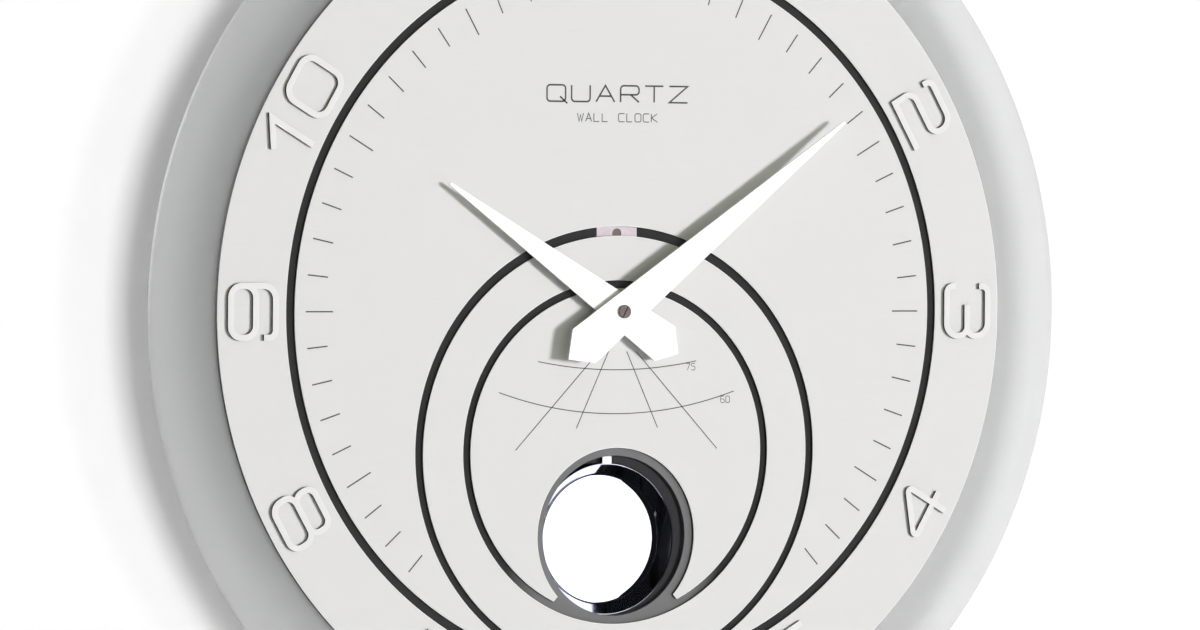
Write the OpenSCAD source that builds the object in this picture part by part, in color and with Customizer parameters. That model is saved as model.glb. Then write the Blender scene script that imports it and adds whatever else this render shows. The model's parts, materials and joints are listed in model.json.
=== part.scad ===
// Pendulum wall clock: metal rings bonded to a frosted acrylic disc, a quartz movement
// behind it, and a polished bob that swings behind a round window.
// X runs right, Y runs towards the wall and Z up. The wall is the plane y = 0 and the
// hands turn about the Y axis. Depths are counted from the front of the face plates.

/* [Body] */
// Distance from the wall to the front of the face plates
stand_off = 30; // [30:0.5:34]
// Radius of the frosted acrylic disc
disc_r = 225; // [215:1:240]
// Thickness of the acrylic disc
disc_t = 4; // [4:0.5:5]
// Radius of the rear pan
pan_r = 115; // [105:1:125]

/* [Face plates] */
// Thickness of each metal face plate
plate_t = 1.7; // [1.2:0.1:1.7]
// Thickness of the adhesive film under the plates
film_t = 0.3; // [0.2:0.1:0.5]
// Outer radius of the chapter ring
chapter_r = 194.8; // [190:0.2:200]
// Inner radius of the chapter ring
chapter_in_r = 162; // [161:0.5:164]
// Outer radius of the dial plate
dial_r = 158; // [155:0.5:159]
// Radius of the dial plate's round opening
dial_hole_r = 99.3; // [98:0.1:101]
// Outer radius of the pendulum ring
pend_ring_r = 95.6; // [94:0.1:97]
// Inner radius of the pendulum ring
pend_ring_in_r = 75.9; // [74:0.1:77]
// Radius of the inner disc
inner_r = 72.4; // [70:0.1:73.5]
// Drop of the dial opening below the hand axis
ring_drop = 61.7; // [61:0.1:62.5]
// Drop of the pendulum ring and the inner disc below the hand axis
inner_drop = 62.2; // [61.5:0.1:63]

/* [Window] */
// Radius of the window in the inner disc
window_r = 39; // [37:0.1:40]
// Radius of the hole in the acrylic disc behind the window
disc_hole_r = 35.3; // [35:0.1:36.5]
// Drop of the window's centre below the hand axis
window_drop = 99.3; // [98:0.1:100]

/* [Numerals] */
// Radius of the circle that the numerals stand on
numeral_ring_r = 178.2; // [177:0.2:180]
// Height of a numeral
numeral_h = 24; // [20:0.5:25]
// Width of a single digit
numeral_w = 25; // [20:0.5:26]
// Width of the strokes
stroke_w = 2.7; // [2:0.1:3.2]
// How far the numerals stand out of the chapter ring
numeral_t = 1.2; // [0.8:0.1:1.8]

/* [Hands] */
// Length of the minute hand from the axis to the tip
minute_len = 139.5; // [120:0.5:150]
// Length of the hour hand from the axis to the tip
hour_len = 101.8; // [80:0.2:115]
// Thickness of the hands
hand_t = 1; // [0.6:0.1:1.2]
// Angle of the minute hand at rest, clockwise from twelve
minute_angle = 52.7; // [0:0.1:360]
// Angle of the hour hand at rest, clockwise from twelve
hour_angle = 303.3; // [0:0.1:360]

/* [Pendulum] */
// Radius of the bob's rim
bob_r = 33.1; // [30:0.1:34]
// Radius of the bob's flat floor
bob_floor_r = 28.3; // [26:0.1:30]
// Drop of the bob's centre below the hand axis
bob_drop = 101.1; // [98:0.1:102]
// Drop of the pendulum's pivot below the hand axis
pivot_drop = 33; // [33:0.5:34]
// Radius of the pendulum rod
rod_r = 3.3; // [2.5:0.1:3.5]

/* [Hidden] */

$fn = 96;

// Depths of the layers, front to back
film_d = plate_t;
disc_d = plate_t + film_t;
disc_back = disc_d + disc_t;
case_front = disc_back + 0.8;
case_wall = 1.5;
motion_d = case_front + case_wall;
bridge_d = case_front + 6.4;
bridge_t = 0.8;
train_d = bridge_d + bridge_t;
case_back = case_front + 17.5;
train_end = case_back - case_wall;
pan_inner = stand_off - 2;

// Link between the dial plate and the pendulum ring
tab_w = 20;
tab_h = 16;
tab_z = 36;
tab_t = 1.5;
link_screw_z = dial_hole_r - ring_drop - 3.2;

// Blunt ends of the inner disc's two horns: inner corner, outer corner and depth of the cut
horn_in = [28.8, -125.6];
horn_out = [30.9, -127.9];
horn_cut_z = -150;

// Hands: half widths and lengths behind the axis
hand_tip_w = 0.6;
minute_half_w = 9.4;
minute_back = 25;
minute_point = 34.7;
hour_half_w = 9.1;
hour_back = 26;
hour_point = 34.1;
hour_hand_d = -3.8;
minute_hand_d = -6.2;

// Threaded bush, nut and concentric shafts
bush_r = 4;
bush_end = -2.2;
nut_af = 11;
nut_t = 1.8;
hour_tube_r = 2.55;
hour_tube_bore = 1.68;
arbor_r = 1.6;
arbor_pivot_r = 1;
run = 0.05;

// Movement case
case_half = 28;
case_corner = 2;
drive_half = 24;
drive_bottom = -53;
drive_t = 1.2;
battery_r = 7.1;
battery_half = 25.25;
battery_z = -18.2;
battery_d = motion_d + 0.2 + battery_r;

// Gears: teeth, modules and places of the arbors
cannon_teeth = 12;
minute_teeth = 36;
minute_pinion_teeth = 12;
hour_teeth = 48;
setting_mod = 0.5;
hour_mod = 0.4;
center_teeth = 60;
third_pinion_teeth = 8;
third_teeth = 64;
fourth_pinion_teeth = 8;
fourth_teeth = 60;
inter_pinion_teeth = 8;
inter_teeth = 48;
rotor_teeth = 12;
center_mod = 0.3;
third_mod = 0.22;
fast_mod = 0.2;
third_dir = 150;
fourth_dir = 60;
inter_dir = 20;
rotor_dir = -10;
function away(from, angle, distance) = from + distance * [cos(angle), sin(angle)];
function mesh_gap(a, b, mod) = (a + b) * mod / 2;
center_at = [0, 0];
setting_at = [mesh_gap(cannon_teeth, minute_teeth, setting_mod), 0];
third_at = away(center_at, third_dir, mesh_gap(center_teeth, third_pinion_teeth, center_mod));
fourth_at = away(third_at, fourth_dir, mesh_gap(third_teeth, fourth_pinion_teeth, third_mod));
inter_at = away(fourth_at, inter_dir, mesh_gap(fourth_teeth, inter_pinion_teeth, fast_mod));
rotor_at = away(inter_at, rotor_dir, mesh_gap(inter_teeth, rotor_teeth, fast_mod));
setting_shaft_r = 1;
train_arbor_r = 0.6;
train_pivot_r = 0.4;
magnet_r = 3;

// Pendulum
lever_d = 10.1;
lever_t = 3;
lever_mid = lever_d + lever_t / 2;
pin_r = 1;
magnet_drop = 45;
lever_magnet_r = 4;
lever_end = -54.6;
rod_flat = 2.4;
peg_r = 1.5;
peg_len = 6;
bob_d = 9.7;
bob_t = 8.4;
bob_wall = 0.5;
bob_floor_d = 17.1;
bob_fillet = 3.2;

// Rear pan, its screws and the hanger
pan_drop = 30;
pan_wall = 2;
lug_ring_r = 119;
lug_r = 8;
lug_t = 2.5;
pan_screw_r = 1.25;
knob_hole_r = 7;
hanger_z = 54;
keyhole_r = 4.5;
keyhole_slot = 4.6;
keyhole_up = 10;
hanger_t = 1.5;
rivet_x = 16;
rivet_z = 59;
rivet_r = 1.6;
cover_half = 31;
cover_low = -28;
cover_high = -9;
cover_fit = 0.3;
ledge = 1.5;

// Colours
aluminium = [0.88, 0.88, 0.86];
white = [0.96, 0.96, 0.95];
frosted = [0.82, 0.84, 0.85, 0.6];
black = [0.08, 0.08, 0.09];
brass = [0.80, 0.66, 0.32];
steel = [0.62, 0.63, 0.65];
copper = [0.72, 0.40, 0.22];
nylon = [0.90, 0.88, 0.80];

// ---- Helpers ----

// Extrudes an outline drawn in X and Z from one depth to a greater one
module layer(from, to) {
    translate([0, to - stand_off, 0]) rotate([90, 0, 0]) linear_extrude(to - from) children();
}

// A round rod along Y at [x, z]
module round_bar(at, r, from, to) {
    layer(from, to) translate(at) circle(r);
}

function unit(v) = v / norm(v);
function last(list) = list[len(list) - 1];
function reversed(list) = [for (i = [len(list) - 1:-1:0]) list[i]];

// Points of the arc that rounds the corner b between a and c
function corner_arc(a, b, c, r, steps = 8) = r == 0 ? [b] :
    let(u = unit(a - b), w = unit(c - b), half = acos(u * w) / 2,
        mid = b + unit(u + w) * r / sin(half),
        p = b + u * r / tan(half) - mid, q = b + w * r / tan(half) - mid,
        start = atan2(p.y, p.x), sweep = (atan2(q.y, q.x) - start + 540) % 360 - 180)
    [for (i = [0:steps]) mid + r * [cos(start + sweep * i / steps), sin(start + sweep * i / steps)]];

// An open line with each inner corner rounded by its own radius
function bent_line(points, radii) = concat([points[0]],
    [for (i = [1:len(points) - 2]) each corner_arc(points[i - 1], points[i], points[i + 1], radii[i - 1])],
    [last(points)]);

// A line moved sideways by d
function beside(line, d) = [for (i = [0:len(line) - 1])
    let(back = i > 0 ? unit(line[i] - line[i - 1]) : unit(line[1] - line[0]),
        ahead = i < len(line) - 1 ? unit(line[i + 1] - line[i]) : back,
        normal = unit([-(back + ahead).y, (back + ahead).x]))
    line[i] + normal * d / (normal * [-back.y, back.x])];

// A stroke of the numerals' width along a line
module stroke(points, radii) {
    line = bent_line(points, radii);
    polygon(concat(beside(line, stroke_w / 2), reversed(beside(line, -stroke_w / 2))));
}

// A rectangle with round corners, from its low corner to its high corner
module round_box(low, high, r) {
    corners = [low, [high.x, low.y], high, [low.x, high.y]];
    polygon([for (i = [0:3]) each corner_arc(corners[(i + 3) % 4], corners[i], corners[(i + 1) % 4], r)]);
}

// A closed loop of stroke, given by its centre line's corners
module loop(low, high, r) {
    edge = [stroke_w / 2, stroke_w / 2];
    difference() {
        round_box(low - edge, high + edge, r + stroke_w / 2);
        round_box(low + edge, high - edge, r - stroke_w / 2);
    }
}

// A gear outline: radial flanks below the pitch circle and rounded tips above it
module gear(teeth, mod, tooth_at, bore = 0) {
    pitch_r = teeth * mod / 2;
    half = 0.43 * 180 / teeth;
    tip = 0.85 * mod;
    flank = [[pitch_r - 1.3 * mod, 1], [pitch_r, 1], [pitch_r + 0.6 * tip, 0.72], [pitch_r + tip, 0.3]];
    outline = [for (i = [0:teeth - 1]) let(mid = tooth_at + 360 * i / teeth)
        each concat([for (f = flank) f.x * [cos(mid - half * f.y), sin(mid - half * f.y)]],
            [for (f = reversed(flank)) f.x * [cos(mid + half * f.y), sin(mid + half * f.y)]])];
    difference() {
        polygon(outline);
        if (bore > 0) circle(bore);
    }
}

module gear_layer(at, teeth, mod, tooth_at, from, to, bore = 0) {
    layer(from, to) translate(at) gear(teeth, mod, tooth_at, bore);
}

// The thin arbor of a train wheel, with a pivot at each end
module train_arbor(at) {
    round_bar(at, train_arbor_r, train_d + 0.3, train_end - 0.3);
    round_bar(at, train_pivot_r, bridge_d + 0.1, train_end + 0.7);
}

// ---- Disc and face plates ----

module acrylic_disc() color(frosted) difference() {
    translate([0, -stand_off, 0]) rotate([-90, 0, 0]) rotate_extrude($fn = 180)
        polygon([[0, disc_d], [disc_r - 0.5, disc_d], [disc_r, disc_d + 0.5], [disc_r, disc_back - 0.5],
            [disc_r - 0.5, disc_back], [0, disc_back]]);
    round_bar([0, -window_drop + 0.1], disc_hole_r, disc_d - 1, disc_back + 1);
    round_bar([0, 0], bush_r + 0.1, disc_d - 1, disc_back + 1);
    layer(disc_d - 1, plate_t + tab_t) translate([0, tab_z]) square([tab_w + 0.4, tab_h + 0.4], center = true);
    round_bar([0, link_screw_z], 1.1, disc_d, disc_d + 3);
    for (at = pan_screw_places()) round_bar(at, pan_screw_r, disc_d + 1.2, disc_back + 1);
}

module chapter_outline(inset = 0) difference() {
    circle(chapter_r - inset, $fn = 180);
    circle(chapter_in_r + inset, $fn = 180);
}

module dial_outline(inset = 0) difference() {
    circle(dial_r - inset, $fn = 180);
    translate([0, -ring_drop]) circle(dial_hole_r + inset, $fn = 180);
}

module pendulum_ring_outline(inset = 0) translate([0, -inner_drop]) difference() {
    circle(pend_ring_r - inset, $fn = 180);
    circle(pend_ring_in_r + inset, $fn = 180);
}

module inner_outline(inset = 0) difference() {
    translate([0, -inner_drop]) circle(inner_r - inset, $fn = 180);
    translate([0, -window_drop]) circle(window_r + inset, $fn = 180);
    circle(bush_r + 0.2 + inset);
    horn_cut();
}

// The area below the horns' blunt ends
module horn_cut() {
    side = [horn_in, horn_out, [horn_out.x, horn_cut_z]];
    polygon(concat(side, [for (p = reversed(side)) [-p.x, p.y]]));
}

module adhesive_film() color(black) layer(film_d, disc_d) difference() {
    union() {
        chapter_outline(1);
        dial_outline(1);
        pendulum_ring_outline(1);
        inner_outline(1);
    }
    translate([0, tab_z]) square([tab_w + 0.4, tab_h + 0.4], center = true);
}

module chapter_ring() color(aluminium) layer(0, plate_t) chapter_outline();
module dial_plate() color(aluminium) layer(0, plate_t) dial_outline();
module pendulum_ring() color(aluminium) layer(0, plate_t) pendulum_ring_outline();
module inner_disc() color(aluminium) layer(0, plate_t) inner_outline();

module link_tab() color(aluminium) difference() {
    layer(plate_t, plate_t + tab_t) translate([0, tab_z]) square([tab_w, tab_h], center = true);
    round_bar([0, link_screw_z], 2.2, plate_t - 1, plate_t + 0.8);
    round_bar([0, link_screw_z], 1.1, plate_t, plate_t + tab_t + 1);
}

module link_screw() color(black) {
    round_bar([0, link_screw_z], 2.2, plate_t + 0.2, plate_t + 0.8);
    round_bar([0, link_screw_z], 1.1, plate_t + 0.8, disc_d + 2.8);
}

// ---- Numerals ----

// Half sizes of a digit's centre line
hw = (numeral_w - stroke_w) / 2;
hh = (numeral_h - stroke_w) / 2;
big = 5.6;
mid_bend = 4.6;
hook = 4.5;

module digit(n, w = hw) {
    if (n == 0) loop([-w, -hh], [w, hh], big);
    if (n == 1) stroke([[0, -hh - stroke_w / 2], [0, hh], [-hw, hh * 0.3]], [0]);
    if (n == 2) stroke([[-w, hh - hook], [-w, hh], [w, hh], [w, 0], [-w, 0], [-w, -hh],
        [w + stroke_w / 2, -hh]], [3, big, mid_bend, mid_bend, 0]);
    if (n == 3) {
        stroke([[-w, hh - hook], [-w, hh], [w, hh], [w, 0], [-w * 0.25, 0]], [3, big, 4]);
        stroke([[-w, hook - hh], [-w, -hh], [w, -hh], [w, 0], [-w * 0.25, 0]], [3, big, 4]);
    }
    if (n == 4) {
        stroke([[w, -hh * 0.45], [-w * 1.25, -hh * 0.45], [w * 0.5, hh], [w * 0.5, 0]], [1.5, 1.5]);
        stroke([[w * 0.5, 1], [w * 0.5, 0], [w * 0.5, -hh - stroke_w / 2]], [0]);
    }
    if (n == 5) stroke([[w, hh], [-w, hh], [-w, 1.2], [w, 1.2], [w, -hh], [-w, -hh], [-w, hook - hh]],
        [0, 0, mid_bend, big, 3]);
    if (n == 6) rotate(180) digit(9, w);
    if (n == 7) stroke([[-w, hh], [w, hh], [-w * 0.35, -hh - stroke_w / 2]], [1.5]);
    if (n == 8) {
        loop([-w, -hh], [w, 0.8], 4.8);
        loop([-w * 0.86, 0.8], [w * 0.86, hh], 4.2);
    }
    if (n == 9) {
        loop([-w, -1.2], [w, hh], 5);
        stroke([[w, 5], [w, -hh], [-w, -hh], [-w, hook - hh + 1]], [big, 3]);
    }
}

module number(n) {
    if (n < 10) digit(n);
    if (n >= 10) {
        translate([n == 11 ? -4.5 : -hw - 1.5, 0]) digit(1);
        if (n == 11) translate([13, 0]) digit(1);
        if (n != 11) translate([9.5, 0]) digit(n - 10, hw * 0.94);
    }
}

// Numbers nine to three stand with their tops outward, four to eight read upright
module numeral(n) color(aluminium) layer(-numeral_t, 0)
    rotate(-30 * n) translate([0, numeral_ring_r]) rotate(n > 3 && n < 9 ? 180 : 0) number(n);

// ---- Hands ----

module hand_outline(length, half_w, back, point) {
    side = [[hand_tip_w, length], [half_w, -back], [0, -point]];
    polygon(concat(side, [[-half_w, -back], [-hand_tip_w, length]]));
}

module hour_hand() color(white) layer(hour_hand_d, hour_hand_d + hand_t) difference() {
    rotate(-hour_angle) hand_outline(hour_len, hour_half_w, hour_back, hour_point);
    circle(hour_tube_r);
}

module minute_hand() color(white) layer(minute_hand_d, minute_hand_d + hand_t) difference() {
    rotate(-minute_angle) hand_outline(minute_len, minute_half_w, minute_back, minute_point);
    circle(arbor_r);
}

// Slotted screw that clamps the minute hand on its arbor
module hand_screw() color(steel) difference() {
    union() {
        round_bar([0, 0], 3, minute_hand_d - 0.8, minute_hand_d);
        round_bar([0, 0], 0.7, minute_hand_d, minute_hand_d + 4);
    }
    layer(minute_hand_d - 1, minute_hand_d - 0.4) rotate(60) square([8, 0.7], center = true);
}

// ---- Movement ----

module bush_nut() color(brass) layer(-nut_t, 0) difference() {
    circle(nut_af / 2 / cos(30), $fn = 6);
    circle(bush_r);
}

module rubber_washer() color(black) layer(disc_back, case_front) difference() {
    circle(12);
    circle(bush_r);
}

post_places = [[-23, 23], [23, 23], [-23, -7]];

module movement_front() color(black) difference() {
    union() {
        difference() {
            layer(case_front, train_d) round_box([-case_half, -case_half], [case_half, case_half], case_corner);
            layer(motion_d, train_d + 1)
                square(2 * (case_half - case_wall), center = true);
        }
        round_bar([0, 0], bush_r, bush_end, motion_d);
        for (at = post_places) round_bar(at, 1.5, motion_d, bridge_d);
    }
    round_bar([0, 0], hour_tube_r + run, bush_end - 1, motion_d + 1);
    round_bar(setting_at, 0.5 + run, motion_d - 0.7, motion_d + 1);
}

module movement_back() color(black) difference() {
    union() {
        difference() {
            layer(train_d, case_back) round_box([-case_half, -case_half], [case_half, case_half], case_corner);
            layer(train_d - 1, train_end) square(2 * (case_half - case_wall), center = true);
        }
        difference() {
            layer(train_d + drive_t, case_back) translate([-drive_half, drive_bottom])
                square([2 * drive_half, -drive_bottom - case_half]);
            layer(train_d, train_end) translate([case_wall - drive_half, drive_bottom + case_wall])
                square([2 * (drive_half - case_wall), -drive_bottom - case_half - case_wall]);
        }
    }
    layer(train_end - 1, case_back + 1) translate([-battery_half - 0.5, battery_z - battery_r - 0.3])
        square([2 * battery_half + 1, 2 * battery_r + 0.6]);
    round_bar(center_at, arbor_pivot_r + run, train_end - 1, train_end + 1);
    round_bar(setting_at, setting_shaft_r + run, train_end - 1, case_back + 1);
    for (at = [third_at, fourth_at, inter_at, rotor_at])
        round_bar(at, train_pivot_r + run, train_end - 1, train_end + 0.8);
}

module train_plate() color(brass) difference() {
    layer(bridge_d, train_d) translate([-26, -9.8]) square([52, 35.8]);
    round_bar(center_at, arbor_r + run, bridge_d - 1, train_d + 1);
    round_bar(setting_at, setting_shaft_r + run, bridge_d - 1, train_d + 1);
    for (at = [third_at, fourth_at, inter_at, rotor_at])
        round_bar(at, train_pivot_r + run, bridge_d - 1, train_d + 1);
}

// Minute arbor with its cannon pinion
module minute_arbor() color(steel) difference() {
    union() {
        round_bar([0, 0], arbor_r, minute_hand_d, train_end - 0.4);
        round_bar([0, 0], arbor_pivot_r, train_end - 0.4, train_end + 0.8);
        gear_layer([0, 0], cannon_teeth, setting_mod, 0, motion_d + 2.4, motion_d + 3.8);
    }
    round_bar([0, 0], 0.7, minute_hand_d - 1, minute_hand_d + 4);
}

// Hour wheel on the tube that carries the hour hand
module hour_wheel() color(nylon) difference() {
    union() {
        gear_layer([0, 0], hour_teeth, hour_mod, 180 / hour_teeth, motion_d + 0.6, motion_d + 1.6);
        round_bar([0, 0], 3.2, motion_d + 0.3, motion_d + 2);
        round_bar([0, 0], hour_tube_r, hour_hand_d - 0.2, motion_d + 0.6);
    }
    round_bar([0, 0], hour_tube_bore, hour_hand_d - 1, motion_d + 3);
}

// Minute wheel and its pinion on the setting shaft
module minute_wheel() color(nylon) {
    gear_layer(setting_at, minute_teeth, setting_mod, 180 + 180 / minute_teeth, motion_d + 2.6, motion_d + 3.6);
    gear_layer(setting_at, minute_pinion_teeth, hour_mod, 180, motion_d + 0.4, motion_d + 1.8);
    round_bar(setting_at, setting_shaft_r, motion_d + 0.2, case_back + 2);
    round_bar(setting_at, 0.5, motion_d - 0.6, motion_d + 0.2);
}

knob_ribs = 16;

module setting_knob() color(black) layer(case_back + 0.6, stand_off - 0.6) translate(setting_at) difference() {
    circle(5.5);
    for (i = [0:knob_ribs - 1]) rotate(360 * i / knob_ribs) translate([5.6, 0]) circle(0.5, $fn = 16);
    circle(setting_shaft_r);
}

// Centre wheel, which slips on the minute arbor when the hands are set
module center_wheel() color(brass) difference() {
    union() {
        gear_layer(center_at, center_teeth, center_mod, third_dir, train_d + 1, train_d + 1.8);
        round_bar(center_at, 2.6, train_d + 0.4, train_d + 2.4);
    }
    round_bar(center_at, arbor_r + run, train_d, train_d + 3);
}

module third_wheel() color(nylon) {
    gear_layer(third_at, third_pinion_teeth, center_mod, third_dir + 180 + 180 / third_pinion_teeth,
        train_d + 0.8, train_d + 2);
    gear_layer(third_at, third_teeth, third_mod, fourth_dir, train_d + 2.6, train_d + 3.3);
    train_arbor(third_at);
}

module fourth_wheel() color(nylon) {
    gear_layer(fourth_at, fourth_pinion_teeth, third_mod, fourth_dir + 180 + 180 / fourth_pinion_teeth,
        train_d + 2.4, train_d + 3.5);
    gear_layer(fourth_at, fourth_teeth, fast_mod, inter_dir, train_d + 4.1, train_d + 4.8);
    train_arbor(fourth_at);
}

module intermediate_wheel() color(nylon) {
    gear_layer(inter_at, inter_pinion_teeth, fast_mod, inter_dir + 180 + 180 / inter_pinion_teeth,
        train_d + 3.9, train_d + 5);
    gear_layer(inter_at, inter_teeth, fast_mod, rotor_dir, train_d + 5.6, train_d + 6.3);
    train_arbor(inter_at);
}

// Magnet rotor of the stepping motor
module rotor() color(steel) {
    round_bar(rotor_at, magnet_r, train_d + 1.6, train_d + 4.4);
    gear_layer(rotor_at, rotor_teeth, fast_mod, rotor_dir + 180 + 180 / rotor_teeth, train_d + 5.4, train_d + 6.5);
    train_arbor(rotor_at);
}

stator_bar_z = 22.5;
coil_from = 9;
coil_len = 10.5;

module stator() color(steel) layer(train_d + 2.6, train_d + 3.4) difference() {
    union() {
        translate(rotor_at) circle(4.9);
        translate([rotor_at.x, 9]) square([24.5 - rotor_at.x, 3]);
        translate([21.5, 9]) square([3, stator_bar_z - 7.75]);
        translate([4, stator_bar_z - 1.25]) square([20.5, 2.5]);
        translate([4, 15]) square([3, stator_bar_z - 15]);
    }
    translate(rotor_at) circle(magnet_r + 0.4);
}

module motor_coil() color(copper) difference() {
    translate([coil_from, train_d + 3 - stand_off, stator_bar_z]) rotate([0, 90, 0]) cylinder(r = 2.8, h = coil_len);
    translate([coil_from - 1, train_d + 2.5 - stand_off, stator_bar_z - 1.35]) cube([coil_len + 2, 1, 2.7]);
}

module circuit_board() color("darkgreen") {
    layer(train_d + 0.6, train_d + 1.4) translate([-26, 14.5]) square([13.5, 11.5]);
    layer(train_d + 1.4, train_d + 2.4) translate([-21, 20]) circle(2.5);
    layer(train_d + 1.4, train_d + 3.2) translate([-16.5, 16]) square([2, 6]);
}

module battery() color(steel) {
    translate([-battery_half, battery_d - stand_off, battery_z]) rotate([0, 90, 0]) {
        cylinder(r = battery_r, h = 2 * battery_half - 1);
        cylinder(r = 2.75, h = 2 * battery_half);
    }
}

module battery_contacts() color(steel) for (side = [-1, 1])
    layer(battery_d - 3.5, battery_d + 3.5)
        translate([side * (battery_half + 0.6), battery_z]) square([1.2, 8], center = true);

// ---- Pendulum drive ----

module drive_cover() color(black) layer(train_d, train_d + drive_t) difference() {
    translate([-drive_half, drive_bottom]) square([2 * drive_half, -drive_bottom - case_half]);
    translate([0, -pivot_drop]) circle(pin_r);
}

module drive_coil() color(copper) difference() {
    round_bar([0, -magnet_drop], 6.4, train_d + drive_t + 0.4, train_end);
    round_bar([0, -magnet_drop], 1.5, train_d, train_end + 1);
}

module pivot_pin() color(steel) {
    round_bar([0, -pivot_drop], pin_r, lever_d - 1, train_d + drive_t + 1);
    round_bar([0, -pivot_drop], 1.8, lever_d + lever_t + 0.3, train_d);
    round_bar([0, -pivot_drop], 2, train_d + drive_t, train_d + drive_t + 1);
}

module pivot_clip() color(steel) layer(lever_d - 0.7, lever_d - 0.3) translate([0, -pivot_drop]) difference() {
    circle(2.2);
    circle(pin_r);
}

module pendulum_lever() color(nylon) {
    difference() {
        layer(lever_d, lever_d + lever_t) union() {
            translate([0, -pivot_drop]) circle(4);
            translate([-2.5, -magnet_drop]) square([5, magnet_drop - pivot_drop]);
            translate([0, -magnet_drop]) circle(lever_magnet_r + 1.2);
            translate([-2, lever_end]) square([4, -magnet_drop - lever_end]);
        }
        round_bar([0, -pivot_drop], pin_r + run, lever_d - 1, lever_d + lever_t + 1);
        round_bar([0, -magnet_drop], lever_magnet_r, lever_d + 1, lever_d + lever_t + 1);
    }
    translate([0, lever_mid - stand_off, lever_end - peg_len]) cylinder(r = peg_r, h = peg_len);
}

module lever_magnet() color(steel)
    round_bar([0, -magnet_drop], lever_magnet_r, lever_d + 1, lever_d + lever_t + 0.4);

// Bar with flats on its front and back, whose lower end is cut to the round edge of the bob
module pendulum_rod() color(steel) difference() {
    translate([0, lever_mid - stand_off, -bob_drop + bob_r - 4]) linear_extrude(lever_end + bob_drop - bob_r + 4)
        intersection() {
            circle(rod_r);
            square([2 * rod_r, 2 * rod_flat], center = true);
        }
    translate([0, lever_mid - stand_off, lever_end - peg_len]) cylinder(r = peg_r, h = peg_len + 1);
    round_bar([0, -bob_drop], bob_r + bob_wall, 0, stand_off);
}

// Turned bob with a conical dish in its front
module pendulum_bob() color("silver") translate([0, -stand_off, -bob_drop]) rotate([-90, 0, 0])
    rotate_extrude($fn = 180) polygon(concat([[0, bob_floor_d]],
        corner_arc([0, bob_floor_d], [bob_floor_r, bob_floor_d], [bob_r, bob_d], bob_fillet),
        [[bob_r, bob_d], [bob_r + bob_wall, bob_d], [bob_r + bob_wall, bob_d + bob_t], [0, bob_d + bob_t]]));

// ---- Rear pan ----

function pan_screw_places() = [for (a = [45:90:315]) [0, -pan_drop] + lug_ring_r * [cos(a), sin(a)]];

module rear_pan() color(black) difference() {
    union() {
        difference() {
            round_bar([0, -pan_drop], pan_r, disc_back, stand_off, $fn = 180);
            round_bar([0, -pan_drop], pan_r - pan_wall, disc_back - 1, pan_inner, $fn = 180);
        }
        for (at = pan_screw_places()) layer(disc_back, disc_back + lug_t) difference() {
            translate(at) circle(lug_r);
            translate([0, -pan_drop]) circle(pan_r - pan_wall, $fn = 180);
        }
    }
    for (at = pan_screw_places()) round_bar(at, pan_screw_r + 0.35, disc_back - 1, disc_back + lug_t + 1);
    round_bar(setting_at, knob_hole_r, pan_inner - 1, stand_off + 1);
    layer(pan_inner - 1, stand_off + 1) translate([ledge - cover_half, cover_low + ledge])
        square([2 * (cover_half - ledge), cover_high - cover_low - 2 * ledge]);
    layer(pan_inner + 1, stand_off + 1) translate([-cover_half, cover_low])
        square([2 * cover_half, cover_high - cover_low]);
    layer(pan_inner - 1, stand_off + 1) union() {
        translate([0, hanger_z]) circle(7);
        translate([-5, hanger_z]) square([10, keyhole_up + 4]);
    }
    for (side = [-1, 1]) round_bar([side * rivet_x, rivet_z], rivet_r, pan_inner - 1, stand_off + 1);
}

module pan_screws() color(steel) for (at = pan_screw_places()) difference() {
    union() {
        round_bar(at, pan_screw_r, disc_d + 1.4, disc_back + lug_t);
        round_bar(at, 2.8, disc_back + lug_t, disc_back + lug_t + 1.8);
    }
    layer(disc_back + lug_t + 0.8, disc_back + lug_t + 2) translate(at) union() {
        square([3.2, 0.7], center = true);
        square([0.7, 3.2], center = true);
    }
}

module hanger_plate() color(steel) layer(pan_inner - hanger_t, pan_inner) difference() {
    round_box([-22, hanger_z - 12], [22, hanger_z + 22], 4);
    translate([0, hanger_z]) circle(keyhole_r);
    translate([-keyhole_slot / 2, hanger_z]) square([keyhole_slot, keyhole_up]);
    translate([0, hanger_z + keyhole_up]) circle(keyhole_slot / 2);
    for (side = [-1, 1]) translate([side * rivet_x, rivet_z]) circle(rivet_r);
}

module hanger_rivets() color(steel) for (side = [-1, 1]) {
    round_bar([side * rivet_x, rivet_z], 3, pan_inner - hanger_t - 1, pan_inner - hanger_t);
    round_bar([side * rivet_x, rivet_z], rivet_r, pan_inner - hanger_t, stand_off);
}

module battery_cover() color(black) {
    layer(stand_off - 1 + cover_fit, stand_off) translate([cover_fit - cover_half, cover_low + cover_fit])
        square([2 * (cover_half - cover_fit), cover_high - cover_low - 2 * cover_fit]);
    layer(pan_inner - 0.5, stand_off - 1 + cover_fit)
        translate([ledge + cover_fit - cover_half, cover_low + ledge + cover_fit])
        square([2 * (cover_half - ledge - cover_fit), cover_high - cover_low - 2 * (ledge + cover_fit)]);
}

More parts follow.
